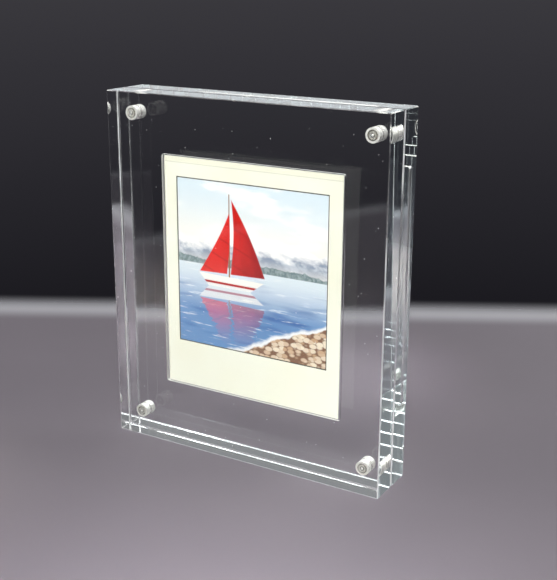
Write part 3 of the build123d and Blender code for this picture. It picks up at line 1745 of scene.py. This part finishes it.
@dataclass(frozen=True)
class Softbox:
    """A rectangular lamp that faces a point, in metres, watts and degrees."""

    name: str
    place: Point
    aim: Point
    width: float
    height: float
    power: float
    spread: float = 180.0
    colour: Colour = (1.0, 1.0, 1.0)

    def build(self) -> bpy.types.Object:
        """Makes the lamp, which the camera doesn't see directly.

        Returns:
            The lamp.
        """
        lamp = bpy.data.lights.new(self.name, "AREA")
        lamp.shape = "RECTANGLE"
        lamp.size = self.width
        lamp.size_y = self.height
        lamp.energy = self.power
        lamp.spread = math.radians(self.spread)
        lamp.color = self.colour
        holder = bpy.data.objects.new(self.name, lamp)
        bpy.context.scene.collection.objects.link(holder)
        holder.location = self.place
        holder.rotation_euler = (Vector(self.aim) - Vector(self.place)).to_track_quat("-Z", "Y").to_euler()
        holder.visible_camera = False
        return holder


@dataclass(frozen=True)
class RoomBand:
    """How bright the room is at one elevation above the horizon, in degrees."""

    elevation: float
    colour: Colour


@dataclass
class Studio:
    """The table that the frame stands on, the dark room, the lamps and the camera.

    Lengths are in metres, angles in degrees and the lens in millimetres.
    """

    table: Tabletop
    azimuth: float = 30.68
    elevation: float = 17.34
    distance: float = 0.37234
    roll: float = 0.26
    aim: Point = (0.00976, 0.0, 0.06453)
    lens: float = 65.8
    nearest: float = 0.01
    bounces: int = 48
    diffuse_bounces: int = 3
    brightest_bounce: float = 20.0
    room_gain: float = 4.0
    room: tuple[RoomBand, ...] = (
        RoomBand(-17.5, (0.0115, 0.0110, 0.0142)),
        RoomBand(-11.7, (0.0205, 0.0197, 0.0244)),
        RoomBand(-5.4, (0.0331, 0.0319, 0.0380)),
        RoomBand(-1.5, (0.0430, 0.0415, 0.0480)),
        RoomBand(3.0, (0.66, 0.66, 0.68)),
        RoomBand(13.0, (0.78, 0.78, 0.80)),
        RoomBand(17.0, (0.215, 0.22, 0.228)),
    )
    lamps: tuple[Softbox, ...] = (
        Softbox("front_key", (0.0, -0.75, 0.75), (0.0, 0.0, 0.06), 0.35, 0.35, 4.8),
        Softbox("near_pool", (0.12, -0.34, 0.34), (0.09, -0.17, 0.0), 0.10, 0.10, 0.33, spread=40.0),
        Softbox(
            "side_pool",
            (-0.145, -0.155, 0.35),
            (-0.14, -0.145, 0.0),
            width=0.06,
            height=0.06,
            power=0.17,
            spread=34.0,
            colour=(1.0, 0.98, 0.80),
        ),
        Softbox(
            "back_pool",
            (-0.03, 0.18, 0.32),
            (-0.012, 0.086, 0.0),
            width=0.05,
            height=0.05,
            power=0.020,
            spread=21.0,
            colour=(1.0, 0.96, 0.98),
        ),
        Softbox("front_left", (-0.33, -0.25, 0.68), (0.0, 0.0, 0.06), 0.30, 0.30, 1.1),
        Softbox("back_left", (-0.36, 0.30, 0.75), (0.0, 0.0, 0.06), 0.30, 0.30, 1.1),
        Softbox("front_right", (0.37, -0.29, 0.75), (0.0, 0.0, 0.06), 0.16, 0.16, 1.5),
        Softbox("back_right", (0.37, 0.29, 0.75), (0.0, 0.0, 0.06), 0.16, 0.16, 1.5),
        Softbox(
            "left_glow_front",
            (-0.44, -0.99, 0.54),
            (0.0, 0.0, 0.03),
            width=0.7,
            height=0.35,
            power=0.18,
            colour=(0.94, 1.0, 1.0),
        ),
        Softbox(
            "left_glow_back",
            (-0.46, 0.99, 0.54),
            (0.0, 0.0, 0.03),
            width=0.7,
            height=0.35,
            power=0.02,
            colour=(0.90, 1.0, 1.0),
        ),
        Softbox("rear_fill", (0.0, 1.30, 0.45), (0.0, 0.0, 0.06), 0.6, 0.4, 3.0),
    )

    def surround(self) -> None:
        """Makes the room, dark below the horizon and lit in bands above it."""
        world = bpy.data.worlds.new("room")
        bpy.context.scene.world = world
        world.use_nodes = True
        tree = world.node_tree
        tree.nodes.clear()
        way = tree.nodes.new("ShaderNodeTexCoord")
        parts = tree.nodes.new("ShaderNodeSeparateXYZ")
        tree.links.new(way.outputs["Generated"], parts.inputs[0])
        share = tree.nodes.new("ShaderNodeMapRange")
        share.inputs["From Min"].default_value = -1.0
        tree.links.new(parts.outputs[2], share.inputs["Value"])
        ramp = tree.nodes.new("ShaderNodeValToRGB")
        tree.links.new(share.outputs[0], ramp.inputs[0])
        stops = ramp.color_ramp.elements
        while len(stops) < len(self.room):
            stops.new(1.0)
        for stop, band in zip(stops, self.room):
            stop.position = (math.sin(math.radians(band.elevation)) + 1) / 2
            stop.color = (*[part / self.room_gain for part in band.colour], 1.0)
        light = tree.nodes.new("ShaderNodeBackground")
        light.inputs["Strength"].default_value = self.room_gain
        tree.links.new(ramp.outputs[0], light.inputs["Color"])
        end = tree.nodes.new("ShaderNodeOutputWorld")
        tree.links.new(light.outputs[0], end.inputs["Surface"])

    def camera(self) -> bpy.types.Object:
        """Makes the camera at the photograph's angle.

        Returns:
            The camera.
        """
        turn = math.radians(self.azimuth)
        lift = math.radians(self.elevation)
        back = Vector((math.sin(turn) * math.cos(lift), -math.cos(turn) * math.cos(lift), math.sin(lift)))
        lens = bpy.data.cameras.new("camera")
        lens.lens = self.lens
        lens.clip_start = self.nearest
        eye = bpy.data.objects.new("camera", lens)
        bpy.context.scene.collection.objects.link(eye)
        eye.rotation_mode = "QUATERNION"
        eye.location = Vector(self.aim) + back * self.distance
        straight = (-back).to_track_quat("-Z", "Y")
        tilt = Matrix.Rotation(math.radians(self.roll), 4, "Z").to_quaternion()
        eye.rotation_quaternion = straight @ tilt
        bpy.context.scene.camera = eye
        return eye

    def light_paths(self) -> None:
        """Lets light bounce often enough inside the blocks, and cleans the grain."""
        cycles = bpy.context.scene.cycles
        cycles.max_bounces = self.bounces
        cycles.transmission_bounces = self.bounces
        cycles.glossy_bounces = self.bounces
        cycles.diffuse_bounces = self.diffuse_bounces
        cycles.transparent_max_bounces = self.bounces
        cycles.caustics_reflective = False
        cycles.caustics_refractive = True
        cycles.sample_clamp_indirect = self.brightest_bounce
        cycles.use_denoising = True
        cycles.denoiser = "OPENIMAGEDENOISE"
        bpy.context.scene.view_settings.view_transform = "Standard"

    def build(self) -> None:
        """Makes the whole studio."""
        self.table.build()
        self.surround()
        for lamp in self.lamps:
            lamp.build()
        self.camera()
        self.light_paths()


def main() -> None:
    """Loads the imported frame, dresses it and sets up the studio."""
    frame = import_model()
    nodes = frame["nodes"]
    blocks = BlockShape.from_frame()
    holes = HolePlaces.from_frame()
    pocket = PocketPlace.from_frame()
    picture = HolidayPicture(PictureWindow.from_frame(nodes["print_border"]))

    acrylic = ClearAcrylic(SandedEdges(blocks), WettedHoles(holes), MilledPocket(pocket))
    AcrylicBlocks(acrylic).build(nodes)
    LOG.info("blocks dressed")
    card = InstantPrint(PrintBack(), picture, BorderPaper(pocket.high_z)).build(nodes)
    LOG.info("%s: %d faces, other sheets dressed", card.name, len(card.data.polygons))
    for piece in CornerPieces(holes, NickelPlate(), ClearGlue(holes)).build():
        LOG.info("%s: %d faces", piece.name, len(piece.data.polygons))
    Studio(Tabletop()).build()


if __name__ == "__main__":
    logging.basicConfig(level=logging.INFO, format="%(name)s: %(message)s")
    main()
